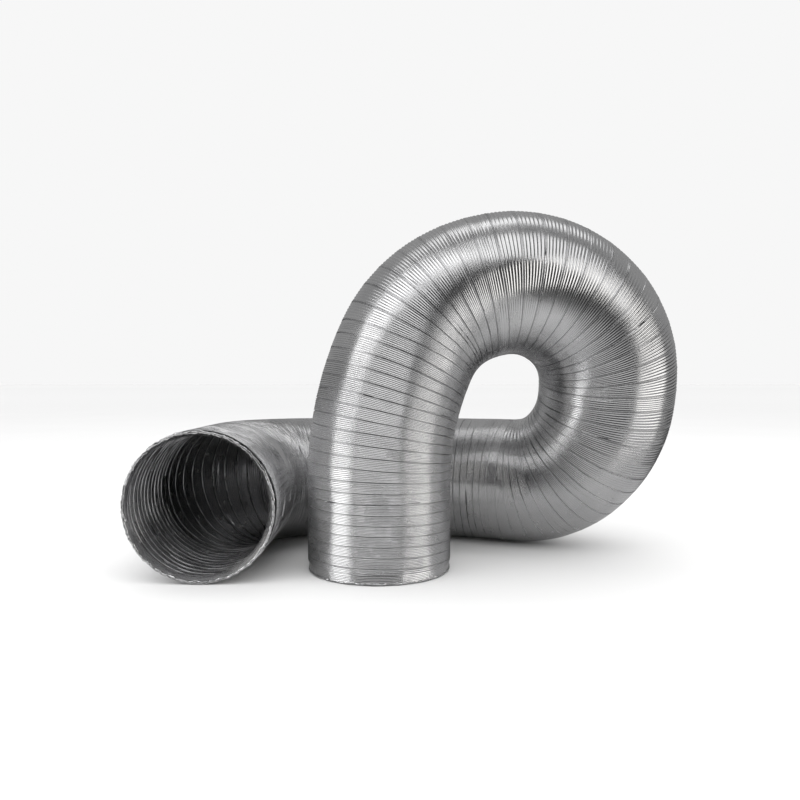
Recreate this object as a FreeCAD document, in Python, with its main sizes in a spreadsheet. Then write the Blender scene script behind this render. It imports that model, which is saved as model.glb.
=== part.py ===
"""Flexible aluminium air duct, bent into a standing loop.

The duct is one corrugated strip wound in a helix and locked to itself, so its wall is one tube. Here the
tube is divided along its length into the stretches that move apart: plain lengths of wall, short groups of
turns that bend or stretch between them, and the cuff and rolled hem that finish each end. Every stretch is
a body of its own.

The route starts at the middle of the standing end, which is the origin, and rises along +Z. It goes up the
leg, over the loop to the right, down behind the leg, along the floor to the left and round to the open
mouth, which faces -Y. It is a chain of straight runs whose corners are rounded, so each part of the wall is
a cylinder or a piece of torus.
"""

import FreeCAD
import Part
import Sketcher
import math
import os

Vector = FreeCAD.Vector
TINY = 1e-6

# Wall sizes, in mm. The crest and bore radii bound the corrugation, which the wall's solid fills.
WALL = {
    "crest_radius": (64.6, "outside of the corrugation"),
    "bore_radius": (63.0, "inside of the corrugation and of the end turns, which a spigot enters"),
    "cuff_outer": (63.8, "outside of the flattened end turns"),
    "hem_outer": (64.4, "outside of the rolled hem"),
    "hem_round": (0.5, "rounding of the hem's outer edge"),
}

# The route's corners: x, y, the height above the floor and the bend radius, in mm.
# A corner on the floor has no height of its own: the duct lies there on its crests.
ON_FLOOR = None
CORNERS = {
    "leg_top": (0, 0, 137, 262),
    "loop_left": (43, 17, 241, 102),
    "loop_crown": (144, 22, 267, 97),
    "loop_shoulder": (219, 44, 210, 95.5),
    "loop_right": (219, 66, 119, 108),
    "floor_bend": (175, 98, ON_FLOOR, 89),
    "floor_sweep": (88, 141, ON_FLOOR, 223),
    "front_bend": (-89, 148, ON_FLOOR, 88),
    "mouth_bend": (-148, 97, ON_FLOOR, 87),
    "mouth": (-148, -60, ON_FLOOR, 0),
}

# The stretches in order from the standing end: name, length along the route and kind.
# One length is left open (0): that wall takes what the route has left.
HEM, CUFF, WALLED = "hem", "cuff", "wall"
STRETCHES = [
    ("standing_end_hem", 3, HEM),
    ("standing_end_cuff", 12, CUFF),
    ("leg_lower_wall", 13, WALLED),
    ("leg_stretch_turns", 28, WALLED),
    ("leg_upper_wall", 24, WALLED),
    ("leg_swing_turns", 26, WALLED),
    ("rise_wall", 84, WALLED),
    ("loop_left_lower_wall", 48, WALLED),
    ("loop_left_upper_wall", 48, WALLED),
    ("crown_left_wall", 46, WALLED),
    ("crown_right_wall", 46, WALLED),
    ("shoulder_upper_wall", 40, WALLED),
    ("shoulder_lower_wall", 40, WALLED),
    ("loop_open_turns", 26, WALLED),
    ("loop_right_wall", 48, WALLED),
    ("loop_lean_turns", 26, WALLED),
    ("floor_bend_upper_wall", 33, WALLED),
    ("floor_bend_lower_wall", 33, WALLED),
    ("floor_sweep_wall", 92, WALLED),
    ("back_stretch_turns", 40, WALLED),
    ("back_run_wall", 36, WALLED),
    ("front_swing_turns", 30, WALLED),
    ("front_bend_wall", 48, WALLED),
    ("mouth_bend_rear_wall", 51, WALLED),
    ("mouth_bend_front_wall", 0, WALLED),
    ("mouth_tilt_turns", 26, WALLED),
    ("mouth_rear_wall", 18, WALLED),
    ("mouth_stretch_turns", 36, WALLED),
    ("mouth_front_wall", 24, WALLED),
    ("mouth_cuff", 12, CUFF),
    ("mouth_hem", 3, HEM),
]
RADII = {
    HEM: ("hem_outer", "bore_radius"),
    CUFF: ("cuff_outer", "bore_radius"),
    WALLED: ("crest_radius", "bore_radius"),
}

# A solid's volume over its section times its length. A hem loses a little where its edge is rounded.
LEAST_SHARE = {HEM: 0.95, CUFF: 0.9999, WALLED: 0.9999}
MOST_SHARE = 1.0001

# Sketch geometry: the first guesses that the constraints replace, and the numbers of points and axes.
FIRST_RADIUS = 60.0
AXIS_LENGTH = 20.0
START, END, CENTRE = 1, 2, 3
X_AXIS = -1
ORIGIN = (X_AXIS, START)


class Sheet:
    """The document's spreadsheet: one row a value, each with an alias."""

    def __init__(self, doc):
        self.object = doc.addObject("Spreadsheet::Sheet", "sizes")
        self.rows = 0

    def add(self, alias, value, note=""):
        """Writes a plain number and gives its cell the alias."""
        self.rows += 1
        self.object.set(f"A{self.rows}", alias)
        self.object.set(f"B{self.rows}", f"{value:.9g}")
        self.object.set(f"C{self.rows}", note)
        self.object.setAlias(f"B{self.rows}", alias)

    def get(self, alias):
        """The number in an aliased cell."""
        return float(self.object.get(alias))


def fill_sheet(sheet):
    """Writes the driving dimensions."""
    for alias, (value, note) in WALL.items():
        sheet.add(alias, value, note)
    for name, (x, y, z, radius) in CORNERS.items():
        height = WALL["crest_radius"][0] if z is ON_FLOOR else z
        sheet.add(f"{name}_x", x, "corner of the route")
        sheet.add(f"{name}_y", y, "corner of the route")
        sheet.add(f"{name}_z", height, "corner of the route")
        sheet.add(f"{name}_bend", radius, "bend radius of the centreline")
    for name, length, _ in STRETCHES:
        sheet.add(f"{name}_length", length, "length along the route, 0 for what is left")


def frame_at(point, tangent, inward):
    """The placement whose +Z runs along the duct and whose +X points at the bend's centre."""
    return FreeCAD.Placement(point, FreeCAD.Rotation(inward, tangent.cross(inward), tangent, "ZXY"))


def build_route(sheet):
    """The route as pieces, each (placement of its start, length, bend radius or 0 for a straight)."""
    points = [Vector(0, 0, 0)]
    radii = [0.0]
    for name in CORNERS:
        points.append(Vector(*(sheet.get(f"{name}_{axis}") for axis in "xyz")))
        radii.append(sheet.get(f"{name}_bend"))
    pieces = []
    here = points[0]
    inward = Vector(1, 0, 0)
    for before, corner, after, radius in zip(points, points[1:], points[2:], radii[1:]):
        come = (corner - before).normalize()
        leave = (after - corner).normalize()
        turn = come.getAngle(leave)
        tangent_length = radius * math.tan(turn / 2)
        start = corner - come * tangent_length
        inward = (leave - come * come.dot(leave)).normalize()
        straight = (start - here).dot(come)
        if straight < 0:
            raise ValueError("two bends of the route overlap: make a bend radius smaller")
        if straight > TINY:
            pieces.append((frame_at(here, come, inward), straight, 0.0))
        pieces.append((frame_at(start, come, inward), radius * turn, radius))
        here = corner + leave * tangent_length
    leave = (points[-1] - points[-2]).normalize()
    inward = (inward - leave * leave.dot(inward)).normalize()
    pieces.append((frame_at(here, leave, inward), (points[-1] - here).Length, 0.0))
    return pieces


def along(piece, distance):
    """The placement at a distance along one piece of the route."""
    start, _, radius = piece
    if radius == 0:
        return start.multiply(FreeCAD.Placement(Vector(0, 0, distance), FreeCAD.Rotation()))
    turn = distance / radius
    moved = Vector(radius * (1 - math.cos(turn)), 0, radius * math.sin(turn))
    turned = FreeCAD.Rotation(Vector(0, 1, 0), math.degrees(turn))
    return start.multiply(FreeCAD.Placement(moved, turned))


def cut_route(pieces, low, high):
    """The parts of the route between two distances from its start."""
    found = []
    passed = 0.0
    for piece in pieces:
        begin = max(low - passed, 0.0)
        end = min(high - passed, piece[1])
        if end - begin > TINY:
            found.append((along(piece, begin), end - begin, piece[2]))
        passed += piece[1]
    return found


def place_stretches(sheet, route_length):
    """Each stretch's (name, kind, start, end) along the route."""
    lengths = {name: sheet.get(f"{name}_length") for name, _, _ in STRETCHES}
    left_over = route_length - sum(lengths.values())
    found = []
    start = 0.0
    for name, _, kind in STRETCHES:
        end = start + (lengths[name] or left_over)
        found.append((name, kind, start, end))
        start = end
    return found


def plane(body, role):
    """One of a body's own origin planes."""
    return next(f for f in body.Origin.OriginFeatures if f.Role == role)


def ring_sketch(body, name, offset, radii, bend_alias):
    """The duct's cross-section at a place on the body, and the bend's axis as a construction line."""
    sketch = body.newObject("Sketcher::SketchObject", name)
    sketch.AttachmentSupport = [(plane(body, "XY_Plane"), "")]
    sketch.MapMode = "FlatFace"
    sketch.AttachmentOffset = offset
    centre, up = Vector(0, 0, 0), Vector(0, 0, 1)
    for circle, alias in enumerate(radii):
        draft = FIRST_RADIUS / (1 + circle)
        sketch.addGeometry(Part.Circle(centre, up, draft), False)
        sketch.addConstraint(Sketcher.Constraint("Coincident", circle, CENTRE, *ORIGIN))
        radius = sketch.addConstraint(Sketcher.Constraint("Radius", circle, draft))
        sketch.setExpression(f"Constraints[{radius}]", f"sizes.{alias}")
    if bend_alias:
        reach, line = 2 * FIRST_RADIUS, len(radii)
        sketch.addGeometry(Part.LineSegment(Vector(reach, 0, 0), Vector(reach, AXIS_LENGTH, 0)), True)
        sketch.addConstraint(Sketcher.Constraint("Vertical", line))
        sketch.addConstraint(Sketcher.Constraint("PointOnObject", line, START, X_AXIS))
        sketch.addConstraint(Sketcher.Constraint("DistanceY", line, START, line, END, AXIS_LENGTH))
        distance = sketch.addConstraint(Sketcher.Constraint("DistanceX", *ORIGIN, line, START, reach))
        sketch.setExpression(f"Constraints[{distance}]", f"sizes.{bend_alias}")
    return sketch


def bend_alias_of(sheet, radius):
    """The alias of the cell that holds a bend's radius."""
    return next(f"{name}_bend" for name in CORNERS if abs(sheet.get(f"{name}_bend") - radius) < TINY)


def fill_parts(sheet, stretches, route):
    """Cuts each stretch from the route, writes its parts' lengths and turns, and returns the cuts by name."""
    cuts = {}
    for name, _, start, end in stretches:
        cuts[name] = cut_route(route, start, end)
        for number, (_, length, radius) in enumerate(cuts[name], 1):
            if radius == 0:
                sheet.add(f"{name}_straight_{number}", length, "straight part of the stretch")
            else:
                turn = math.degrees(length / radius)
                sheet.add(f"{name}_turn_{number}", turn, "bend of the stretch, degrees")
    return cuts


def tube_body(doc, sheet, name, kind, parts):
    """One stretch of the duct: a body with a Pad for each straight part and a Revolution for each bend."""
    body = doc.addObject("PartDesign::Body", name)
    body.Label = name
    home = parts[0][0]
    for number, (place, _, radius) in enumerate(parts, 1):
        offset = home.inverse().multiply(place)
        alias = bend_alias_of(sheet, radius) if radius else None
        sketch = ring_sketch(body, f"{name}_ring_{number}", offset, RADII[kind], alias)
        if radius == 0:
            feature = body.newObject("PartDesign::Pad", f"{name}_pad_{number}")
            feature.Profile = sketch
            feature.setExpression("Length", f"sizes.{name}_straight_{number}")
        else:
            feature = body.newObject("PartDesign::Revolution", f"{name}_bend_{number}")
            feature.Profile = sketch
            feature.ReferenceAxis = (sketch, ["Axis0"])
            feature.setExpression("Angle", f"sizes.{name}_turn_{number}")
    body.Placement = home
    doc.recompute()
    if kind == HEM:
        round_hem(body, name)
        doc.recompute()
    return body


def round_hem(body, name):
    """Rounds the outer edge of a hem's free rim, which is its near face at the standing end."""
    base = body.Tip
    centres = [edge.Curve.Center.z for edge in base.Shape.Edges if isinstance(edge.Curve, Part.Circle)]
    free_height = min(centres) if name == STRETCHES[0][0] else max(centres)
    radius = WALL["hem_outer"][0]
    rims = [
        f"Edge{index}"
        for index, edge in enumerate(base.Shape.Edges, 1)
        if isinstance(edge.Curve, Part.Circle)
        and abs(edge.Curve.Center.z - free_height) < TINY
        and abs(edge.Curve.Radius - radius) < TINY
    ]
    fillet = body.newObject("PartDesign::Fillet", f"{name}_round")
    fillet.Base = (base, rims)
    fillet.setExpression("Radius", "sizes.hem_round")


def ring_area(sheet, kind):
    """Area of the cross-section of a kind of stretch."""
    outer, inner = (sheet.get(alias) for alias in RADII[kind])
    return math.pi * (outer**2 - inner**2)


def check(doc, sheet, bodies):
    """Stops if an object failed to recompute, or a solid isn't its section times its length."""
    for item in doc.Objects:
        if {"Invalid", "Error"} & set(item.State):
            raise RuntimeError(f"{item.Label} failed: {item.State}")
    for body, kind, start, end in bodies:
        shape = body.Shape
        if shape.isNull() or not shape.isValid() or len(shape.Solids) != 1:
            raise RuntimeError(f"{body.Label} is not one valid solid")
        share = shape.Volume / (ring_area(sheet, kind) * (end - start))
        if not LEAST_SHARE[kind] < share < MOST_SHARE:
            raise RuntimeError(f"{body.Label} holds {share:.4f} of its section times its length")


def build():
    """Makes the document, checks it and writes each stretch's solid."""
    doc = FreeCAD.newDocument("flexible_air_duct")
    sheet = Sheet(doc)
    fill_sheet(sheet)
    doc.recompute()
    route = build_route(sheet)
    stretches = place_stretches(sheet, sum(length for _, length, _ in route))
    cuts = fill_parts(sheet, stretches, route)
    doc.recompute()
    bodies = []
    for name, kind, start, end in stretches:
        bodies.append((tube_body(doc, sheet, name, kind, cuts[name]), kind, start, end))
    check(doc, sheet, bodies)
    os.makedirs("parts", exist_ok=True)
    for body, _, _, _ in bodies:
        body.Shape.exportStep(f"parts/{body.Label}.step")
    return doc, route, stretches


document, route, stretches = build()
print(f"centreline {sum(length for _, length, _ in route):.1f} mm, {len(stretches)} stretches")
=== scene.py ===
"""A flexible aluminium air duct, standing on one end and bent over into a loop.

The duct is one thin strip with ribs pressed along it, wound in a helix and locked to itself at every turn.
The wall is wound straight, as on the winding machine, and then bent along the duct's route. It is made in
lengths that meet at flat cuts, so that each length can bend or stretch with the joints of the frame.
"""

import logging
import math
from dataclasses import dataclass, field
from enum import Enum

import bpy
import numpy
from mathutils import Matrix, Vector
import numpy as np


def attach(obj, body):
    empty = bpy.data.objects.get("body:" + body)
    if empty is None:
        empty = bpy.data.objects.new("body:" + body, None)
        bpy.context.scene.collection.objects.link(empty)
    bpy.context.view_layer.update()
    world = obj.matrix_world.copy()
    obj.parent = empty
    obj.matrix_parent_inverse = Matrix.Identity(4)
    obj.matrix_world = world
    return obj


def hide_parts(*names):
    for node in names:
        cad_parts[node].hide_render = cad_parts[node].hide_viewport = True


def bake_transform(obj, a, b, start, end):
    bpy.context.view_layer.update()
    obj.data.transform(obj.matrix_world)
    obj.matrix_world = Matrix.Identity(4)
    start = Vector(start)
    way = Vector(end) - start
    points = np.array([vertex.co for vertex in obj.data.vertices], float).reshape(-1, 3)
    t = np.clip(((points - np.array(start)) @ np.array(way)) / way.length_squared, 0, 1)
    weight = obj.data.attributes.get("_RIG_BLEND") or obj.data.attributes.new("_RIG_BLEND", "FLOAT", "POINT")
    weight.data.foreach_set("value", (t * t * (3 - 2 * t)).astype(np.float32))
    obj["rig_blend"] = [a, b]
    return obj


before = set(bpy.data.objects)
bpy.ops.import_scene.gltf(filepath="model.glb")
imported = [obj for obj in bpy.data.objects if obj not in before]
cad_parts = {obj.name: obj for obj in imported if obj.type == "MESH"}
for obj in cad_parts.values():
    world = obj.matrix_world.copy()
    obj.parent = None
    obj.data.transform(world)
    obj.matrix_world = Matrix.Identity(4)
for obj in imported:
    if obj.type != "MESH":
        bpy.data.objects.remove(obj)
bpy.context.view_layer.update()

MM = 0.001
TINY = 1e-5
LOG = logging.getLogger("air_duct")


# Route ----------------------------------------------------------------------------------------------------


@dataclass(frozen=True)
class Corner:
    """A corner of the route, in mm: its place and the radius that rounds it."""

    x: float
    y: float
    z: float
    bend: float = 0.0

    @property
    def point(self) -> Vector:
        """The corner in metres."""
        return Vector((self.x, self.y, self.z)) * MM


@dataclass(frozen=True)
class Run:
    """A straight run or a bend of the route, in metres. A straight run has no radius."""

    first: float
    start: Vector
    along: Vector
    side: Vector
    inward: Vector
    length: float
    radius: float = 0.0

    @property
    def last(self) -> float:
        """Distance along the route at which the run ends."""
        return self.first + self.length

    @property
    def curvature(self) -> tuple[float, float]:
        """How sharply the run bends towards the wall's own x and y."""
        if self.radius == 0:
            return 0.0, 0.0
        up = self.along.cross(self.side)
        return self.inward.dot(self.side) / self.radius, self.inward.dot(up) / self.radius

    def place(self, points: numpy.ndarray) -> numpy.ndarray:
        """Puts points of the straight wall on the run.

        Args:
            points: x and y across the wall and the distance along the route, one row each.

        Returns:
            Their places in the frame.
        """
        along, side, inward = (numpy.array(v) for v in (self.along, self.side, self.inward))
        up = numpy.cross(along, side)
        across = points[:, :1] * side + points[:, 1:2] * up
        distance = points[:, 2:] - self.first
        if self.radius == 0:
            return numpy.array(self.start) + along * distance + across
        turn = distance / self.radius
        cosine, sine = numpy.cos(turn), numpy.sin(turn)
        depth = (across @ inward)[:, None]
        centre = numpy.array(self.start) + inward * self.radius
        level = across - inward * depth
        return centre + level + (depth - self.radius) * (inward * cosine - along * sine)

    def leave(self) -> tuple[Vector, Vector, Vector]:
        """Finds where the run ends.

        Returns:
            The end's place, its direction and the wall's x there.
        """
        if self.radius == 0:
            return self.start + self.along * self.length, self.along.copy(), self.side.copy()
        turn = self.length / self.radius
        cosine, sine = math.cos(turn), math.sin(turn)
        end = self.start + self.inward * self.radius * (1 - cosine) + self.along * self.radius * sine
        depth = self.side.dot(self.inward)
        side = self.side - self.inward * depth + (self.inward * cosine - self.along * sine) * depth
        return end, self.along * cosine + self.inward * sine, side


@dataclass
class Route:
    """The duct's centreline, from the middle of the standing end to the middle of the mouth."""

    low: float = 64.6
    runs: list[Run] = field(default_factory=list)

    def __post_init__(self) -> None:
        """Works out the straight runs and bends between the corners."""
        corners = (
            Corner(0, 0, 0),
            Corner(0, 0, 137, 262),
            Corner(43, 17, 241, 102),
            Corner(144, 22, 267, 97),
            Corner(219, 44, 210, 95.5),
            Corner(219, 66, 119, 108),
            Corner(175, 98, self.low, 89),
            Corner(88, 141, self.low, 223),
            Corner(-89, 148, self.low, 88),
            Corner(-148, 97, self.low, 87),
            Corner(-148, -60, self.low),
        )
        here, side, first = corners[0].point, Vector((1, 0, 0)), 0.0
        for before, corner, after in zip(corners, corners[1:], corners[2:]):
            come = (corner.point - before.point).normalized()
            leave = (after.point - corner.point).normalized()
            turn, radius = come.angle(leave), corner.bend * MM
            start = corner.point - come * (radius * math.tan(turn / 2))
            inward = (leave - come * come.dot(leave)).normalized()
            self.runs.append(Run(first, here, come, side, inward, (start - here).length))
            first = self.runs[-1].last
            self.runs.append(Run(first, start, come, side, inward, radius * turn, radius))
            here, _, side = self.runs[-1].leave()
            first = self.runs[-1].last
        last = corners[-1].point - here
        self.runs.append(Run(first, here, last.normalized(), side, inward, last.length))

    @property
    def length(self) -> float:
        """Length of the centreline in metres."""
        return self.runs[-1].last

    def bend(self, points: numpy.ndarray) -> numpy.ndarray:
        """Bends points of the straight wall along the route.

        Args:
            points: x and y across the wall and the distance along the route, one row each.

        Returns:
            Their places in the frame.
        """
        placed = numpy.empty_like(points)
        edges = [run.first for run in self.runs[1:]]
        owners = numpy.searchsorted(edges, points[:, 2])
        for number, run in enumerate(self.runs):
            mine = owners == number
            if mine.any():
                placed[mine] = run.place(points[mine])
        return placed

    def at(self, distance: float) -> Vector:
        """The point of the centreline at a distance in mm."""
        return Vector(self.bend(numpy.array([[0.0, 0.0, distance * MM]]))[0])


# Modelling helpers ----------------------------------------------------------------------------------------


def deselect_all() -> None:
    """Leaves object mode with nothing selected."""
    if bpy.context.object and bpy.context.object.mode != "OBJECT":
        bpy.ops.object.mode_set(mode="OBJECT")
    bpy.ops.object.select_all(action="DESELECT")


def edit(piece: bpy.types.Object) -> None:
    """Opens one object in edit mode with its whole mesh selected."""
    deselect_all()
    piece.select_set(True)
    bpy.context.view_layer.objects.active = piece
    bpy.ops.object.mode_set(mode="EDIT")
    bpy.ops.mesh.select_all(action="SELECT")


def done() -> None:
    """Closes edit mode."""
    bpy.ops.object.mode_set(mode="OBJECT")


def apply_modifier(piece: bpy.types.Object, kind: str, **settings: object) -> None:
    """Adds a modifier and applies it.

    Args:
        piece: the object to change.
        kind: the modifier's type.
        settings: the modifier's own settings by name.
    """
    deselect_all()
    piece.select_set(True)
    bpy.context.view_layer.objects.active = piece
    modifier = piece.modifiers.new(kind.lower(), kind)
    for name, value in settings.items():
        setattr(modifier, name, value)
    bpy.ops.object.modifier_apply(modifier=modifier.name)


def read_points(piece: bpy.types.Object) -> numpy.ndarray:
    """The places of a mesh's points, one row each."""
    places = numpy.empty(len(piece.data.vertices) * 3)
    piece.data.vertices.foreach_get("co", places)
    return places.reshape(-1, 3)


def write_points(piece: bpy.types.Object, places: numpy.ndarray) -> None:
    """Moves a mesh's points."""
    piece.data.vertices.foreach_set("co", places.ravel())
    piece.data.update()


def mark(piece: bpy.types.Object, name: str, values: numpy.ndarray) -> None:
    """Stores a number or a place for each point of a mesh, which a finish reads by name."""
    kind, key = ("FLOAT", "value") if values.ndim == 1 else ("FLOAT_VECTOR", "vector")
    attributes = piece.data.attributes
    attribute = attributes.get(name) or attributes.new(name, kind, "POINT")
    attribute.data.foreach_set(key, values.astype(numpy.float32).ravel())


def smooth_step(low: float, high: float, values: numpy.ndarray) -> numpy.ndarray:
    """0 below low, 1 above high, and smooth between."""
    share = numpy.clip((values - low) / (high - low), 0, 1)
    return share * share * (3 - 2 * share)


class Crumple(Enum):
    """Ways that the foil is out of true."""

    WAVES = "CLOUDS"
    FACETS = "VORONOI"


def crumple(piece: bpy.types.Object, kind: Crumple, size: float, depth: float) -> None:
    """Pushes a surface in unevenly, and never out.

    Args:
        piece: the object to change, before the foil has its thickness.
        kind: the pattern.
        size: the pattern's size in mm.
        depth: how far the deepest places go in, in mm.
    """
    texture = bpy.data.textures.new(f"{kind.name.lower()}_{size:g}", kind.value)
    texture.noise_scale = size * MM
    apply_modifier(
        piece, "DISPLACE", texture=texture, texture_coords="LOCAL", mid_level=1.0, strength=depth * MM
    )


# Wall -----------------------------------------------------------------------------------------------------


@dataclass(frozen=True)
class Strip:
    """The strip that the wall is wound from. Sizes are in mm.

    It is wound at an even pitch, where the lock seam takes lock_share of the turn, and spread to its true
    pitch afterwards, where the seam is lock_width wide, or most_lock of the turn if that is less.
    """

    crest_radius: float = 64.6
    cuff_radius: float = 63.8
    foil: float = 0.15
    ribs: int = 6
    points_per_rib: int = 6
    lock_width: float = 1.45
    most_lock: float = 0.34
    lock_depth: float = 1.0
    lock_round: float = 0.2
    steps: int = 72
    pitch: float = 10.0
    lock_share: float = 0.2
    relief: tuple[float, float] = (0.09, 0.165)
    relief_limits: tuple[float, float] = (0.16, 0.85)

    def depth_of_ribs(self, spacing: numpy.ndarray) -> numpy.ndarray:
        """How deep ribs at a spacing are, in mm: deeper where the wall is drawn out."""
        least, more = self.relief
        return numpy.clip(least + more * spacing, *self.relief_limits)

    def outline(self) -> list[tuple[float, float]]:
        """Draws the strip's cross-section over one turn, with ribs 1 mm deep.

        Returns:
            Points of (height along the duct, radius), from one lock seam to the next.
        """
        crest, groove = self.crest_radius, self.crest_radius - self.lock_depth
        edge = crest - self.lock_round
        lock = self.lock_share * self.pitch
        fold = ((0, groove), (0.13, groove), (0.27, edge), (0.38, crest), (0.8, crest), (0.94, edge))
        points = [(share * lock, radius) for share, radius in fold]
        spacing = (self.pitch - lock) / self.ribs
        for rib in range(self.ribs):
            for step in range(self.points_per_rib):
                share = (step + 0.5) / self.points_per_rib
                depth = 0.5 + 0.5 * math.cos(2 * math.pi * share)
                points.append((lock + (rib + share) * spacing, crest - depth))
        return points + [(self.pitch, groove)]


@dataclass(frozen=True)
class Stretch:
    """A length of wall between two flat cuts, in mm along the route, and the bodies that it goes with."""

    name: str
    start: float
    end: float
    replaces: tuple[str, ...]
    body: str
    next_body: str = ""
    gives_from: float = 0.0
    gives_to: float = 0.0


@dataclass
class CorrugatedWall:
    """The helical wall of the duct, wound straight and then bent along the route. Sizes are in mm.

    The ends are flat for flat_until and fully ribbed from ribbed_from. The pitches are pairs of a distance
    along the route and the pitch there. A wobble is a size, waves along the wall and around it, and a phase.
    """

    route: Route
    finish: bpy.types.Material
    strip: Strip = Strip()
    flat_until: float = 6.0
    ribbed_from: float = 11.0
    full_depth: float = 1.1
    cuff_crest: float = 0.8
    soften_over: int = 27
    wobbles: tuple[tuple[float, float, int, float], ...] = (
        (0.16, 0.131, 2, 0.0), (0.14, 0.083, -3, 1.0), (0.1, 0.37, 5, 2.0),
    )
    pitches: tuple[tuple[float, float], ...] = (
        (0, 8.8), (150, 9.0), (190, 10.8), (240, 13.2), (300, 14.4), (430, 14.4), (500, 12.4),
        (560, 10.2), (620, 9.4), (1100, 9.1),
    )
    stretches: tuple[Stretch, ...] = (
        Stretch("wall_foot", 9, 68, ("leg_lower_wall", "leg_stretch_turns"),
                "standing_end", "leg", 28, 56),
        Stretch("wall_leg", 68, 148, ("leg_upper_wall", "leg_swing_turns"), "leg", "loop", 80, 106),
        Stretch("wall_rise", 148, 238, ("rise_wall", "loop_left_lower_wall"), "loop"),
        Stretch("wall_loop_left", 238, 332, ("loop_left_upper_wall", "crown_left_wall"), "loop"),
        Stretch("wall_crown", 332, 418, ("crown_right_wall", "shoulder_upper_wall"), "loop"),
        Stretch("wall_shoulder", 418, 508, ("shoulder_lower_wall", "loop_open_turns"),
                "loop", "loop_side", 458, 484),
        Stretch("wall_loop_right", 508, 591, ("loop_right_wall", "loop_lean_turns", "floor_bend_upper_wall"),
                "loop_side", "floor_run", 532, 558),
        Stretch("wall_floor_bend", 591, 670, ("floor_bend_lower_wall", "floor_sweep_wall"), "floor_run"),
        Stretch("wall_back_run", 670, 774, ("back_stretch_turns", "back_run_wall"),
                "floor_run", "back_run", 716, 756),
        Stretch("wall_front_bend", 774, 844, ("front_swing_turns", "front_bend_wall"),
                "back_run", "front_bend", 792, 822),
        Stretch("wall_mouth_bend", 844, 921, ("mouth_bend_rear_wall",), "front_bend"),
        Stretch("wall_mouth_turn", 921, 1009, ("mouth_bend_front_wall", "mouth_tilt_turns"),
                "front_bend", "mouth_rear", 974.3, 1000.3),
        Stretch("wall_mouth", 1009, 1084.3, ("mouth_rear_wall", "mouth_stretch_turns", "mouth_front_wall"),
                "mouth_rear", "mouth_end", 1018.3, 1054.3),
    )

    def __post_init__(self) -> None:
        """Adds up the turns along the route, and how the route bends, at every mm of it."""
        self.marks = numpy.arange(-40.0, self.route.length / MM + 40)
        pitch = numpy.interp(self.marks, *zip(*self.pitches))
        self.turns = numpy.cumsum(1 / pitch)
        curvature = numpy.zeros((len(self.marks), 2))
        for run in self.route.runs:
            curvature[(self.marks >= run.first / MM) & (self.marks < run.last / MM)] = run.curvature
        window = numpy.hanning(self.soften_over)
        soften = window / window.sum()
        self.curvature = [numpy.convolve(curvature[:, axis], soften, "same") for axis in (0, 1)]

    def build(self) -> list[bpy.types.Object]:
        """Builds every stretch of the wall.

        Returns:
            The finished pieces in order.
        """
        pieces = []
        for stretch in self.stretches:
            piece = self.wind(stretch)
            self.space_ribs(piece)
            self.cut(piece, stretch)
            self.dress(piece)
            self.fasten(piece, stretch)
            pieces.append(piece)
            LOG.info("%s: %d points", piece.name, len(piece.data.vertices))
        return pieces

    def wind(self, stretch: Stretch) -> bpy.types.Object:
        """Winds the strip into a straight tube of even pitch that reaches past both ends of a stretch.

        Args:
            stretch: the length of wall to make.

        Returns:
            The tube, whose height counts its turns.
        """
        strip = self.strip
        first, last = (numpy.interp(s, self.marks, self.turns) for s in (stretch.start, stretch.end))
        windings = math.ceil(last) - math.floor(first) + 2
        outline = strip.outline()
        deselect_all()
        bpy.ops.mesh.primitive_plane_add(size=MM)
        piece = bpy.context.object
        piece.name = piece.data.name = stretch.name
        edit(piece)
        bpy.ops.mesh.merge(type="CENTER")
        height, radius = outline[0]
        foot = (math.floor(first) - 1) * strip.pitch + height
        bpy.ops.transform.translate(value=(radius * MM, 0, foot * MM))
        for (low, inner), (high, outer) in zip(outline, outline[1:]):
            step = ((outer - inner) * MM, 0, (high - low) * MM)
            bpy.ops.mesh.extrude_vertices_move(TRANSFORM_OT_translate={"value": step})
        done()
        apply_modifier(
            piece, "SCREW", angle=-2 * math.pi, screw_offset=strip.pitch * MM, iterations=windings,
            steps=strip.steps, render_steps=strip.steps, use_smooth_shade=True,
        )
        edit(piece)
        bpy.ops.mesh.remove_doubles(threshold=0.01 * MM)
        bpy.ops.mesh.normals_make_consistent(inside=False)
        done()
        return piece

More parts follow.
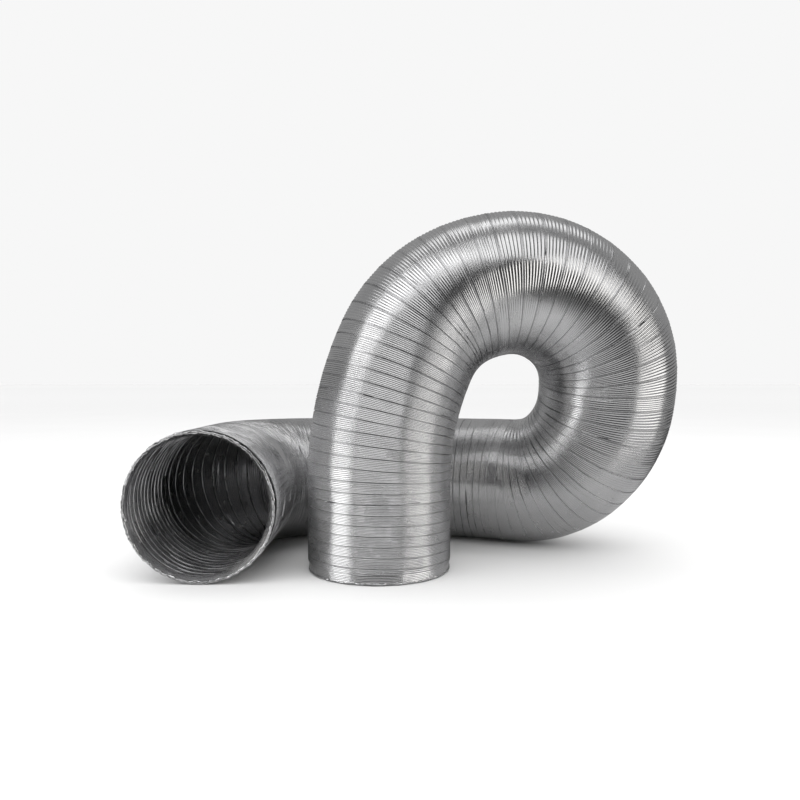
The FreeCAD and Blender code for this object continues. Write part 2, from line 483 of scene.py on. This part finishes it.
    def space_ribs(self, piece: bpy.types.Object) -> None:
        """Spreads the turns to their pitch on the route.

        The ribs open where a bend stretches the wall, but the folded lock seams keep their width.

        Args:
            piece: the tube of even pitch.
        """
        strip = self.strip
        places = read_points(piece)
        angle = numpy.arctan2(places[:, 1], places[:, 0])
        radius = numpy.hypot(places[:, 0], places[:, 1]) / MM
        turn = places[:, 2] / (strip.pitch * MM)
        share = (turn + angle / (2 * math.pi) + TINY) % 1.0 - TINY
        distance = numpy.interp(turn, self.turns, self.marks)
        bend_x, bend_y = (numpy.interp(distance, self.marks, bend) for bend in self.curvature)
        stretched = 1 - (places[:, 0] * bend_x + places[:, 1] * bend_y)
        pitch = numpy.interp(distance, *zip(*self.pitches)) * stretched
        lock = numpy.minimum(strip.lock_width / pitch, strip.most_lock)
        ribbed = share > strip.lock_share
        moved = share * lock / strip.lock_share
        open_share = (share - strip.lock_share) / (1 - strip.lock_share)
        moved[ribbed] = (lock + open_share * (1 - lock))[ribbed]
        depth = strip.crest_radius - radius
        depth[ribbed] *= strip.depth_of_ribs(pitch * (1 - lock) / strip.ribs)[ribbed]
        along = numpy.interp(turn + moved - share, self.turns, self.marks)
        waves = [
            size * numpy.sin(speed * along + lobes * angle + offset)
            for size, speed, lobes, offset in self.wobbles
        ]
        along += sum(waves)
        to_end = numpy.minimum(along, self.route.length / MM - along)
        flat = 1 - smooth_step(self.flat_until, self.ribbed_from, to_end)
        depth = depth * (1 - flat) + (strip.crest_radius - strip.cuff_radius) * flat
        # The crest mark sets the painted shade in the grooves and seams and the rub with painted highlight
        # on the crests.
        mark(piece, "crest", (1 - depth / self.full_depth) * (1 - flat) + self.cuff_crest * flat)
        size = (strip.crest_radius - depth) * MM / numpy.hypot(places[:, 0], places[:, 1])
        places[:, :2] *= size[:, None]
        places[:, 2] = along * MM
        write_points(piece, places)

    def cut(self, piece: bpy.types.Object, stretch: Stretch) -> None:
        """Cuts the tube flat at both ends of its stretch.

        Args:
            piece: the straight tube.
            stretch: the length of wall that it becomes.
        """
        edit(piece)
        for height, side in ((stretch.start, "clear_inner"), (stretch.end, "clear_outer")):
            bpy.ops.mesh.select_all(action="SELECT")
            bpy.ops.mesh.bisect(plane_co=(0, 0, height * MM), plane_no=(0, 0, 1), **{side: True})
        done()

    def dress(self, piece: bpy.types.Object) -> None:
        """Bends the straight tube along the route, dents it, and gives it the foil's thickness and finish.

        Args:
            piece: the tube, cut to its length.
        """
        places = read_points(piece)
        mark(piece, "unrolled", places)
        write_points(piece, self.route.bend(places))
        crumple(piece, Crumple.WAVES, 26.0, 0.6)
        crumple(piece, Crumple.WAVES, 7.0, 0.06)
        apply_modifier(piece, "SOLIDIFY", thickness=self.strip.foil * MM, offset=-1.0)
        piece.data.shade_smooth()
        piece.data.materials.append(self.finish)

    def fasten(self, piece: bpy.types.Object, stretch: Stretch) -> None:
        """Ties a finished stretch to the frame's bodies and nodes.

        Args:
            piece: the finished stretch.
            stretch: which bodies it goes with and which nodes it stands for.
        """
        if stretch.next_body:
            start, end = self.route.at(stretch.gives_from), self.route.at(stretch.gives_to)
            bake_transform(piece, stretch.body, stretch.next_body, start=start, end=end)
        else:
            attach(piece, stretch.body)
        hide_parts(*stretch.replaces)


# Ends -----------------------------------------------------------------------------------------------------


class Way(Enum):
    """Which way an end faces along the route."""

    START = 1
    FINISH = -1


@dataclass
class DuctEnd:
    """The flattened cuff and the rolled, crumpled hem that finish one end of the duct. Sizes are in mm.

    The cuff can lean inwards by turned_in, and by turned_more on the side turned_towards, an angle.
    """

    name: str
    route: Route
    way: Way
    body: str
    cuff_finish: bpy.types.Material
    hem_finish: bpy.types.Material
    turned_in: float = 0.0
    turned_more: float = 0.0
    around: int = 240
    cuff_radius: float = 63.8
    cuff_crest: float = 0.8
    foil: float = 0.15
    hem_radius: float = 62.9
    hem_thickness: float = 3.8
    hem_height: float = 3.4
    hem_wave: float = 0.18
    hem_crest: float = 1.2
    hem_crease_shade: float = 1.6
    waves_out: tuple[int, ...] = (19, 37, 61, 89)
    waves_up: tuple[int, ...] = (23, 43, 71, 97)
    turned_towards: float = -0.7
    rib_height: float = 0.25
    rib_spacing: float = 1.3
    cuff_length: float = 9.8
    first_height: float = 1.2
    tucked: float = 0.5
    tucked_over: float = 1.5

    def build(self) -> list[bpy.types.Object]:
        """Builds the cuff and the hem.

        Returns:
            The finished pieces.
        """
        cuff, hem = self.make_cuff(), self.make_hem()
        for piece, part, slot in ((cuff, "cuff", "end_cuff"), (hem, "hem", "rolled_hem")):
            piece.data.shade_smooth()
            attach(piece, self.body)
            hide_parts(f"{self.name}_{part}")
            LOG.info("%s: %d points", piece.name, len(piece.data.vertices))
        return [cuff, hem]

    def distance(self, inset: float) -> float:
        """Distance along the route, in metres, of a place that is so many mm in from this end."""
        return inset * MM if self.way is Way.START else self.route.length - inset * MM

    def set_in_place(self, piece: bpy.types.Object, crest: float) -> None:
        """Moves a straight piece to its place on the route and marks it for its finish.

        Args:
            piece: the piece, whose z is the distance in from the end.
            crest: how much its surface stands out, from 0 to 1, which sets its rub with painted highlight
                and its painted shade.
        """
        places = read_points(piece)
        places[:, 2] = self.distance(0) + self.way.value * places[:, 2]
        mark(piece, "unrolled", places)
        mark(piece, "crest", numpy.full(len(places), crest))
        write_points(piece, self.route.bend(places))
        edit(piece)
        bpy.ops.mesh.normals_make_consistent(inside=False)
        done()

    def make_cuff(self) -> bpy.types.Object:
        """Pulls a ring up into the cuff and creases it.

        Returns:
            The cuff.
        """
        heights = numpy.arange(self.first_height, self.cuff_length, self.rib_spacing / 4)
        ribs = self.rib_height / 2 * (numpy.cos(2 * math.pi * heights / self.rib_spacing) - 1)
        under = self.tucked * smooth_step(self.cuff_length - self.tucked_over, self.cuff_length, heights)
        radii = self.cuff_radius + ribs * (self.turned_in == 0) - under
        deselect_all()
        bpy.ops.mesh.primitive_circle_add(vertices=self.around, radius=radii[0] * MM, fill_type="NOTHING")
        piece = bpy.context.object
        piece.name = piece.data.name = f"cuff_of_{self.name}"
        edit(piece)
        bpy.ops.transform.translate(value=(0, 0, heights[0] * MM))
        for low, high, narrow, wide in zip(heights, heights[1:], radii, radii[1:]):
            step = (0, 0, (high - low) * MM)
            bpy.ops.mesh.extrude_region_move(TRANSFORM_OT_translate={"value": step})
            scale = wide / narrow
            bpy.ops.transform.resize(value=(scale, scale, 1), center_override=(0, 0, high * MM))
        done()
        self.turn_in(piece)
        self.set_in_place(piece, self.cuff_crest)
        crumple(piece, Crumple.WAVES, 26.0, 0.7)
        crumple(piece, Crumple.WAVES, 6.0, 0.3)
        apply_modifier(piece, "SOLIDIFY", thickness=self.foil * MM, offset=-1.0)
        piece.data.materials.append(self.cuff_finish)
        return piece

    def turn_in(self, cuff: bpy.types.Object) -> None:
        """Leans the cuff inwards, further on one side, as where the end was squeezed.

        Args:
            cuff: the straight cuff.
        """
        places = read_points(cuff)
        angle = numpy.arctan2(places[:, 1], places[:, 0])
        radius = numpy.hypot(places[:, 0], places[:, 1])
        lean = self.turned_in + self.turned_more * numpy.cos(angle - self.turned_towards)
        inset = lean * MM * smooth_step(0, self.cuff_length * MM, places[:, 2])
        places[:, :2] *= (1 - inset / radius)[:, None]
        write_points(cuff, places)

    def wave_hem(self, hem: bpy.types.Object) -> None:
        """Bends the hem in and out and up and down, in short waves, as hand folding leaves it.

        Args:
            hem: the straight hem.
        """
        places = read_points(hem)
        angle = numpy.arctan2(places[:, 1], places[:, 0])
        out = sum(numpy.sin(count * angle + count) for count in self.waves_out) * self.hem_wave * MM
        up = sum(numpy.sin(count * angle - count) for count in self.waves_up) * self.hem_wave * MM
        places[:, :2] *= (1 + (out - 2 * self.hem_wave * MM) / (self.hem_radius * MM))[:, None]
        places[:, 2] += up * smooth_step(0, self.hem_height * MM, places[:, 2])
        write_points(hem, places)

    def make_hem(self) -> bpy.types.Object:
        """Rolls the hem as a flattened ring and crumples it.

        Returns:
            The hem.
        """
        deselect_all()
        bpy.ops.mesh.primitive_torus_add(
            major_segments=3 * self.around, minor_segments=16,
            major_radius=self.hem_radius * MM, minor_radius=self.hem_thickness / 2 * MM,
        )
        piece = bpy.context.object
        piece.name = piece.data.name = f"hem_of_{self.name}"
        edit(piece)
        tall = self.hem_height / self.hem_thickness
        bpy.ops.transform.resize(value=(1, 1, tall), center_override=(0, 0, 0))
        bpy.ops.transform.translate(value=(0, 0, self.hem_height / 2 * MM))
        done()
        self.wave_hem(piece)
        self.set_in_place(piece, 1.0)
        rolled = read_points(piece)
        crumple(piece, Crumple.FACETS, 2.4, 1.1)
        crumple(piece, Crumple.WAVES, 0.9, 0.4)
        # Points pushed in deeper by the crumpling get painted shade, and the least pushed-in ones the rub
        # with painted highlight.
        depth = numpy.linalg.norm(read_points(piece) - rolled, axis=1)
        mark(piece, "crest", self.hem_crest - self.hem_crease_shade * depth / depth.max())
        piece.data.materials.append(self.hem_finish)
        return piece


# Finishes -------------------------------------------------------------------------------------------------


@dataclass
class Nodes:
    """Adds the nodes of one tree and joins them."""

    tree: bpy.types.NodeTree

    def add(self, kind: str, settings: dict | None = None, **inputs: object) -> bpy.types.Node:
        """Adds a node.

        Args:
            kind: the node's type.
            settings: the node's own settings by name.
            inputs: a socket to join or a value to set, by the input's name with _ for a space.

        Returns:
            The node.
        """
        node = self.tree.nodes.new(kind)
        for name, value in (settings or {}).items():
            setattr(node, name, value)
        for name, value in inputs.items():
            socket = node.inputs[int(name[1:])] if name[0] == "i" and name[1:].isdigit() else None
            socket = socket or node.inputs[name.replace("_", " ")]
            if isinstance(value, bpy.types.NodeSocket):
                self.tree.links.new(value, socket)
            else:
                socket.default_value = value
        return node

    def math(self, what: str, *values: object) -> bpy.types.NodeSocket:
        """The result of one sum on numbers or sockets."""
        inputs = {f"i{number}": value for number, value in enumerate(values)}
        return self.add("ShaderNodeMath", {"operation": what}, **inputs).outputs[0]

    def ramp(self, value: bpy.types.NodeSocket, low: float, high: float) -> bpy.types.NodeSocket:
        """0 to 1, smoothly, as a value goes from low to high."""
        settings = {"interpolation_type": "SMOOTHSTEP"}
        return self.add(
            "ShaderNodeMapRange", settings, Value=value, From_Min=low, From_Max=high
        ).outputs["Result"]

    def between(self, share: bpy.types.NodeSocket, low: float, high: float) -> bpy.types.NodeSocket:
        """A number from low to high by a share from 0 to 1."""
        return self.add("ShaderNodeMapRange", None, Value=share, To_Min=low, To_Max=high).outputs["Result"]

    def mix(self, share: object, first: object, second: object) -> bpy.types.NodeSocket:
        """A colour between two colours."""
        node = self.add("ShaderNodeMix", {"data_type": "RGBA"}, i0=share, i6=first, i7=second)
        return node.outputs[2]

    def noise(self, place: bpy.types.NodeSocket, scale: float, detail: float = 3.0) -> bpy.types.NodeSocket:
        """Cloudy noise from 0 to 1."""
        return self.add("ShaderNodeTexNoise", None, Vector=place, Scale=scale, Detail=detail).outputs[0]


def new_group(name: str, inputs: dict[str, str], outputs: dict[str, str]) -> tuple[Nodes, dict, object]:
    """Starts a shader node group.

    Args:
        name: the group's name.
        inputs: socket types by name.
        outputs: socket types by name.

    Returns:
        The group's nodes, its input sockets by name and its output node.
    """
    tree = bpy.data.node_groups.new(name, "ShaderNodeTree")
    for direction, sockets in (("INPUT", inputs), ("OUTPUT", outputs)):
        for label, kind in sockets.items():
            tree.interface.new_socket(label, in_out=direction, socket_type=f"NodeSocket{kind}")
    nodes = Nodes(tree)
    taken = nodes.add("NodeGroupInput").outputs
    return nodes, {label: taken[label] for label in inputs}, nodes.add("NodeGroupOutput")


def rolled_grain_group() -> bpy.types.NodeTree:
    """Makes the fine lines that rolling leaves along the strip.

    Returns:
        A group from a place to the lines' strength and height.
    """
    nodes, given, out = new_group(
        "rolled_grain", {"Place": "Vector", "Fineness": "Float"}, {"Lines": "Float", "Height": "Float"}
    )
    scale = nodes.add("ShaderNodeCombineXYZ", None, X=0.05, Y=0.05, Z=given["Fineness"]).outputs[0]
    place = nodes.add(
        "ShaderNodeVectorMath", {"operation": "MULTIPLY"}, i0=given["Place"], i1=scale
    ).outputs[0]
    fine, broad = nodes.noise(place, 420.0, 2.0), nodes.noise(place, 90.0, 2.0)
    lines = nodes.math("MULTIPLY_ADD", broad, 0.5, nodes.math("MULTIPLY", fine, 0.5))
    nodes.tree.links.new(nodes.ramp(lines, 0.32, 0.68), out.inputs["Lines"])
    nodes.tree.links.new(lines, out.inputs["Height"])
    return nodes.tree


def handling_group() -> bpy.types.NodeTree:
    """Makes the smudges and dulled patches that handling leaves on bare foil.

    Returns:
        A group from a place to a mask of smudges and a mask of dull patches.
    """
    nodes, given, out = new_group("handling", {"Place": "Vector"}, {"Smudge": "Float", "Dull": "Float"})
    patches = nodes.noise(given["Place"], 14.0, 4.0)
    streaks = nodes.noise(given["Place"], 75.0, 5.0)
    nodes.tree.links.new(nodes.ramp(streaks, 0.52, 0.72), out.inputs["Smudge"])
    nodes.tree.links.new(nodes.ramp(patches, 0.38, 0.66), out.inputs["Dull"])
    return nodes.tree


def crest_rub_and_painted_shade_group() -> bpy.types.NodeTree:
    """Makes the bright rub on what stands out, worn and partly a painted highlight, and the painted shade in
    the grooves and creases.

    Returns:
        A group from a place and how far the surface stands out to the masks of rub and grime.
    """
    nodes, given, out = new_group(
        "crest_rub_and_painted_shade", {"Place": "Vector", "Crest": "Float"}, {"RubAndHighlight": "Float", "Grime": "Float"}
    )
    patchy = nodes.noise(given["Place"], 60.0, 4.0)
    high = nodes.ramp(given["Crest"], 0.75, 1.0)
    # Low places get painted shade; high places get a worn rub that is partly a painted highlight.
    low = nodes.math("SUBTRACT", 1.0, nodes.ramp(given["Crest"], -0.1, 0.35))
    rub_and_highlight = nodes.math("MULTIPLY", high, nodes.ramp(patchy, 0.35, 0.65))
    grime = nodes.math("MULTIPLY", low, nodes.between(patchy, 0.55, 1.0))
    nodes.tree.links.new(rub_and_highlight, out.inputs["RubAndHighlight"])
    nodes.tree.links.new(grime, out.inputs["Grime"])
    return nodes.tree


@dataclass(frozen=True)
class FoilEffects:
    """The node groups that the foil finishes share."""

    grain: bpy.types.NodeTree
    handling: bpy.types.NodeTree
    rub_and_shade: bpy.types.NodeTree


@dataclass(frozen=True)
class FoilFinish:
    """Bare aluminium foil. The depths of its grain and dents and the size of its dents are in mm. Its
    darkest colour is painted shade for grooves and creases, and its palest colour a worn rub with painted
    highlight on what stands out.
    """

    name: str
    clean: tuple[float, float, float, float]
    dulled: tuple[float, float, float, float]
    grime: tuple[float, float, float, float]
    roughness: float
    rough_spread: float
    fineness: float
    grain_depth: float
    dent_size: float
    dent_depth: float
    rub_highlight_colour: tuple[float, float, float, float] = (0.95, 0.95, 0.95, 1)

    def make(self, effects: FoilEffects) -> bpy.types.Material:
        """Builds the material.

        Args:
            effects: the shared node groups.

        Returns:
            The material.
        """
        material = bpy.data.materials.new(self.name)
        material.use_nodes = True
        nodes = Nodes(material.node_tree)
        shader = material.node_tree.nodes["Principled BSDF"]
        place = nodes.add("ShaderNodeAttribute", {"attribute_name": "unrolled"}).outputs["Vector"]
        crest = nodes.add("ShaderNodeAttribute", {"attribute_name": "crest"}).outputs["Fac"]
        solid = nodes.add("ShaderNodeTexCoord").outputs["Object"]
        grain = nodes.add(
            "ShaderNodeGroup", {"node_tree": effects.grain}, Place=place, Fineness=self.fineness
        ).outputs
        handling = nodes.add("ShaderNodeGroup", {"node_tree": effects.handling}, Place=solid).outputs
        rub_and_shade = nodes.add("ShaderNodeGroup", {"node_tree": effects.rub_and_shade}, Place=solid, Crest=crest).outputs
        colour = nodes.mix(handling["Dull"], self.clean, self.dulled)
        colour = nodes.mix(nodes.math("MULTIPLY", grain["Lines"], 0.25), colour, self.dulled)
        # Painted shade darkens the grooves and crumpled creases, and the rub paints a highlight on what
        # stands out.
        colour = nodes.mix(rub_and_shade["Grime"], colour, self.grime)
        colour = nodes.mix(nodes.math("MULTIPLY", rub_and_shade["RubAndHighlight"], 0.5), colour, self.rub_highlight_colour)
        rough = nodes.math("MULTIPLY_ADD", handling["Smudge"], self.rough_spread, self.roughness)
        rough = nodes.math("MULTIPLY_ADD", grain["Lines"], 0.5 * self.rough_spread, rough)
        rough = nodes.math("MULTIPLY_ADD", rub_and_shade["Grime"], 0.2, rough)
        rough = nodes.math("MULTIPLY_ADD", rub_and_shade["RubAndHighlight"], -0.06, rough)
        dents = nodes.noise(solid, 1 / (self.dent_size * MM), 2.0)
        shallow = nodes.add(
            "ShaderNodeBump", None, Strength=1.0, Distance=self.dent_depth * MM, Height=dents
        ).outputs[0]
        bump = nodes.add(
            "ShaderNodeBump", None, Strength=1.0, Distance=self.grain_depth * MM,
            Height=grain["Height"], Normal=shallow,
        ).outputs[0]
        for value, name in ((colour, "Base Color"), (rough, "Roughness"), (bump, "Normal")):
            material.node_tree.links.new(value, shader.inputs[name])
        shader.inputs["Metallic"].default_value = 1.0
        return material


WALL_FINISH = FoilFinish(
    "corrugated_foil",
    clean=(0.76, 0.76, 0.765, 1), dulled=(0.66, 0.66, 0.67, 1), grime=(0.38, 0.38, 0.385, 1),
    roughness=0.21, rough_spread=0.06, fineness=24.0, grain_depth=0.004, dent_size=8.0, dent_depth=0.03,
)
CUFF_FINISH = FoilFinish(
    "flattened_foil",
    clean=(0.82, 0.82, 0.825, 1), dulled=(0.7, 0.7, 0.71, 1), grime=(0.3, 0.3, 0.305, 1),
    roughness=0.2, rough_spread=0.08, fineness=24.0, grain_depth=0.008, dent_size=3.0, dent_depth=0.1,
)
HEM_FINISH = FoilFinish(
    "crumpled_foil",
    clean=(0.92, 0.92, 0.925, 1), dulled=(0.74, 0.74, 0.75, 1), grime=(0.15, 0.15, 0.155, 1),
    roughness=0.12, rough_spread=0.08, fineness=16.0, grain_depth=0.01, dent_size=1.2, dent_depth=0.25,
)


# Studio ---------------------------------------------------------------------------------------------------


def grey(level: float) -> tuple[float, float, float, float]:
    """A plain grey."""
    return level, level, level, 1.0


@dataclass(frozen=True)
class SoftBox:
    """A square light that faces the duct.

    The azimuth is in degrees from the camera's side, positive to the right, and the elevation in degrees
    above the duct. The distance, width and height are in metres.
    """

    name: str
    azimuth: float
    elevation: float
    distance: float
    width: float
    height: float
    watts: float
    colour: tuple[float, float, float] = (1.0, 1.0, 1.0)

    def build(self, target: Vector) -> None:
        """Hangs the light so that it faces the target.

        Args:
            target: the point that the light looks at.
        """
        light = bpy.data.lights.new(self.name, "AREA")
        light.shape, light.size, light.size_y = "RECTANGLE", self.width, self.height
        light.energy, light.color = self.watts, self.colour
        stand = bpy.data.objects.new(self.name, light)
        around, up = math.radians(self.azimuth), math.radians(self.elevation)
        level = Vector((math.sin(around), -math.cos(around), 0)) * math.cos(up)
        back = level + Vector((0, 0, math.sin(up)))
        stand.location = target + back * self.distance
        stand.rotation_euler = back.to_track_quat("Z", "Y").to_euler()
        bpy.context.scene.collection.objects.link(stand)


@dataclass(frozen=True)
class Studio:
    """The pale floor, the soft lights and the camera. Places and distances are in metres.

    The floor and the room each have one tone for the eye and another for what the foil mirrors, so that the
    stage is pale and even while the foil still shows dark bands beside the reflections of the lights.
    """

    lens: float = 32.82
    camera_place: tuple[float, float, float] = (0.01877, -0.65495, 0.16782)
    camera_dip: float = 0.059
    camera_shift: float = 0.0319
    sensor: float = 36.0
    nearest: float = 0.01
    target: tuple[float, float, float] = (0.03, 0.05, 0.14)
    floor_size: float = 120.0
    far_floor: tuple[float, float] = (1.5, 9.0)
    dark_floor: tuple[float, float] = (0.3, 0.75)
    dark_side: tuple[float, float] = (-0.3, 0.6)
    boxes: tuple[SoftBox, ...] = (
        SoftBox("left_box", azimuth=-62, elevation=12, distance=1.6, width=0.95, height=1.8, watts=10.2),
        SoftBox(
            "right_box", azimuth=64, elevation=4, distance=1.6, width=1.4, height=1.3, watts=8.8,
            colour=(1.0, 0.985, 0.955),
        ),
        SoftBox("top_box", azimuth=0, elevation=55, distance=1.6, width=1.9, height=1.15, watts=8.0),
        SoftBox("back_box", azimuth=180, elevation=76, distance=1.7, width=1.6, height=0.5, watts=2.5),
    )

    def build(self) -> None:
        """Sets up the whole studio."""
        for box in self.boxes:
            box.build(Vector(self.target))
        self.lay_floor()
        self.light_room()
        self.stand_camera()
        bpy.context.scene.view_settings.view_transform = "Standard"

    def lay_floor(self) -> None:
        """Lays a wide pale floor."""
        deselect_all()
        bpy.ops.mesh.primitive_plane_add(size=self.floor_size)
        floor = bpy.context.object
        floor.name = "floor"
        material = bpy.data.materials.new("pale_floor")
        material.use_nodes = True
        nodes = Nodes(material.node_tree)
        shader = material.node_tree.nodes["Principled BSDF"]
        place = nodes.add("ShaderNodeTexCoord").outputs["Object"]
        far = nodes.add("ShaderNodeVectorMath", {"operation": "LENGTH"}, i0=place).outputs["Value"]
        colour = nodes.mix(nodes.noise(place, 3.0), grey(0.64), grey(0.67))
        colour = nodes.mix(nodes.ramp(far, *self.far_floor), colour, grey(0.7))
        mirror = nodes.mix(nodes.ramp(far, *self.dark_floor), grey(0.32), grey(0.04))
        mirrored = nodes.add("ShaderNodeLightPath").outputs["Is Glossy Ray"]
        colour = nodes.mix(mirrored, colour, mirror)
        material.node_tree.links.new(colour, shader.inputs["Base Color"])
        shader.inputs["Roughness"].default_value = 0.75
        shader.inputs["Specular IOR Level"].default_value = 0.2
        floor.data.materials.append(material)

    def light_room(self) -> None:
        """Surrounds the studio with a room that is pale to the eye and darker behind the camera."""
        world = bpy.data.worlds.new("room")
        bpy.context.scene.world = world
        world.use_nodes = True
        nodes = Nodes(world.node_tree)
        direction = nodes.add("ShaderNodeTexCoord").outputs["Generated"]
        parts = nodes.add("ShaderNodeSeparateXYZ", None, Vector=direction).outputs
        behind = nodes.ramp(nodes.math("MULTIPLY", parts["Y"], -1.0), *self.dark_side)
        mirrored = nodes.mix(behind, grey(0.3), (0.02, 0.02, 0.021, 1))
        path = nodes.add("ShaderNodeLightPath").outputs
        lit = nodes.mix(path["Is Diffuse Ray"], mirrored, grey(1.6))
        colour = nodes.mix(path["Is Camera Ray"], lit, grey(0.93))
        world.node_tree.links.new(colour, world.node_tree.nodes["Background"].inputs["Color"])

    def stand_camera(self) -> None:
        """Stands the camera in front of the duct."""
        data = bpy.data.cameras.new("camera")
        data.lens, data.sensor_width, data.shift_y = self.lens, self.sensor, self.camera_shift
        data.clip_start = self.nearest
        camera = bpy.data.objects.new("camera", data)
        camera.location = self.camera_place
        camera.rotation_euler = (math.pi / 2 - self.camera_dip, 0, 0)
        bpy.context.scene.collection.objects.link(camera)
        bpy.context.scene.camera = camera


def main() -> None:
    """Builds the duct and its studio."""
    logging.basicConfig(level=logging.INFO, format="%(name)s %(message)s")
    route = Route()
    effects = FoilEffects(rolled_grain_group(), handling_group(), crest_rub_and_painted_shade_group())
    wall_finish, cuff_finish, hem_finish = (
        finish.make(effects) for finish in (WALL_FINISH, CUFF_FINISH, HEM_FINISH)
    )
    Studio().build()
    CorrugatedWall(route, wall_finish).build()
    DuctEnd("standing_end", route, Way.START, "standing_end", cuff_finish, hem_finish).build()
    DuctEnd(
        "mouth", route, Way.FINISH, "mouth_end", cuff_finish, hem_finish, turned_in=4.0, turned_more=1.5
    ).build()


if __name__ == "__main__":
    main()
